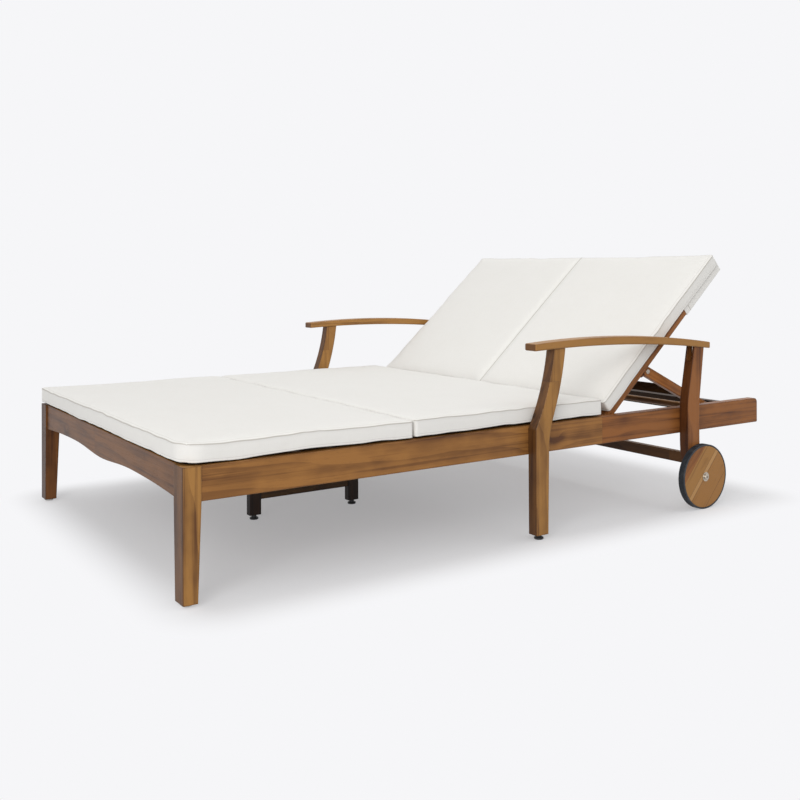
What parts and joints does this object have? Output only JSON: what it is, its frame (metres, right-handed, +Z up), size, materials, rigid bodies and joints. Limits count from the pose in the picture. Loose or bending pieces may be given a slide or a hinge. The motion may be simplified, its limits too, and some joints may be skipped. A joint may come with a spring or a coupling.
{
  "type": "double chaise lounger",
  "caption": "Low wooden double lounger: slatted frame on two wheels, arched arms, a back that reclines on a notched prop, and pale seat and back cushions.",
  "frame": {"origin": "on the floor, in the middle of the overall width and length", "axes": "+X to the right seen from the foot end, +Y from foot to head, +Z up"},
  "size_m": [1.3662, 2, 0.7793],
  "materials": {
    "frame_wood": "satin",
    "wheel_wood": "satin",
    "cushion_fabric": "matte",
    "tyre_rubber": "matte",
    "bright_steel": "satin",
    "washer_plastic": "matte",
    "glide_plastic": "matte",
    "foot_plastic": "matte"
  },
  "bodies": {
    "base": {"side_rail_right": "frame_wood", "side_rail_left": "frame_wood", "front_leg_right": "frame_wood", "front_leg_left": "frame_wood", "leg_glides": "glide_plastic", "front_apron": "frame_wood", "arm_post_right": "frame_wood", "arm_post_left": "frame_wood", "rear_post_right": "frame_wood", "rear_post_left": "frame_wood", "armrest_right": "frame_wood", "armrest_left": "frame_wood", "armrest_bolts": "bright_steel", "tail_rail": "frame_wood", "rear_stretcher": "frame_wood", "mid_rail": "frame_wood", "centre_beam": "frame_wood", "centre_leg_front": "frame_wood", "centre_leg_rear": "frame_wood", "centre_stretcher": "frame_wood", "seat_ledger_right": "frame_wood", "seat_ledger_left": "frame_wood", "seat_slats": "frame_wood", "prop_rack_right": "frame_wood", "prop_rack_left": "frame_wood", "rack_screws": "bright_steel", "hinge_pins": "bright_steel", "hinge_washers": "washer_plastic", "post_bolts": "bright_steel", "axle_bolts": "bright_steel", "axle_washers": "washer_plastic", "foot_cushion": "cushion_fabric", "seat_cushion": "cushion_fabric"},
    "backrest": {"back_stile_right": "frame_wood", "back_stile_left": "frame_wood", "back_top_rail": "frame_wood", "back_bottom_rail": "frame_wood", "back_batten": "frame_wood", "back_slats": "frame_wood", "prop_block_right": "frame_wood", "prop_block_left": "frame_wood", "prop_bolts": "bright_steel", "back_cushion": "cushion_fabric", "back_hood": "cushion_fabric"},
    "prop": {"prop_arm_right": "frame_wood", "prop_arm_left": "frame_wood", "prop_cross_board": "frame_wood", "prop_foot_bar": "frame_wood"},
    "wheel_right": {"wheel_disc_right": "wheel_wood", "tyre_right": "tyre_rubber"},
    "wheel_left": {"wheel_disc_left": "wheel_wood", "tyre_left": "tyre_rubber"},
    "foot_right": {"levelling_foot_right": "foot_plastic"},
    "foot_left": {"levelling_foot_left": "foot_plastic"},
    "foot_front": {"levelling_foot_front": "foot_plastic"},
    "foot_rear": {"levelling_foot_rear": "foot_plastic"}
  },
  "joints": [
    {"name": "back_recline", "type": "hinge", "parent": "base", "child": "backrest", "pos_m": [0, 0.339, 0.2997], "axis": [1, 0, 0], "range_deg": [-41.5, 14.5]},
    {"name": "prop_swing", "type": "hinge", "parent": "backrest", "child": "prop", "pos_m": [0, 0.5227, 0.42257], "axis": [1, 0, 0], "range_deg": [-23.51, 67.11]},
    {"name": "wheel_right_spin", "type": "hinge", "parent": "base", "child": "wheel_right", "pos_m": [0, 0.6645, 0.099], "axis": [1, 0, 0], "continuous": true},
    {"name": "wheel_left_spin", "type": "hinge", "parent": "base", "child": "wheel_left", "pos_m": [0, 0.6645, 0.099], "axis": [1, 0, 0], "continuous": true},
    {"name": "foot_right_travel", "type": "slide", "parent": "base", "child": "foot_right", "axis": [0, 0, 1], "range_m": [-0.012, 0]},
    {"name": "foot_left_travel", "type": "slide", "parent": "base", "child": "foot_left", "axis": [0, 0, 1], "range_m": [-0.012, 0]},
    {"name": "foot_front_travel", "type": "slide", "parent": "base", "child": "foot_front", "axis": [0, 0, 1], "range_m": [-0.012, 0]},
    {"name": "foot_rear_travel", "type": "slide", "parent": "base", "child": "foot_rear", "axis": [0, 0, 1], "range_m": [-0.012, 0]}
  ],
  "couplings": [
    {"joint": "prop_swing", "follows": "back_recline", "ratio": -1.6147}
  ]
}
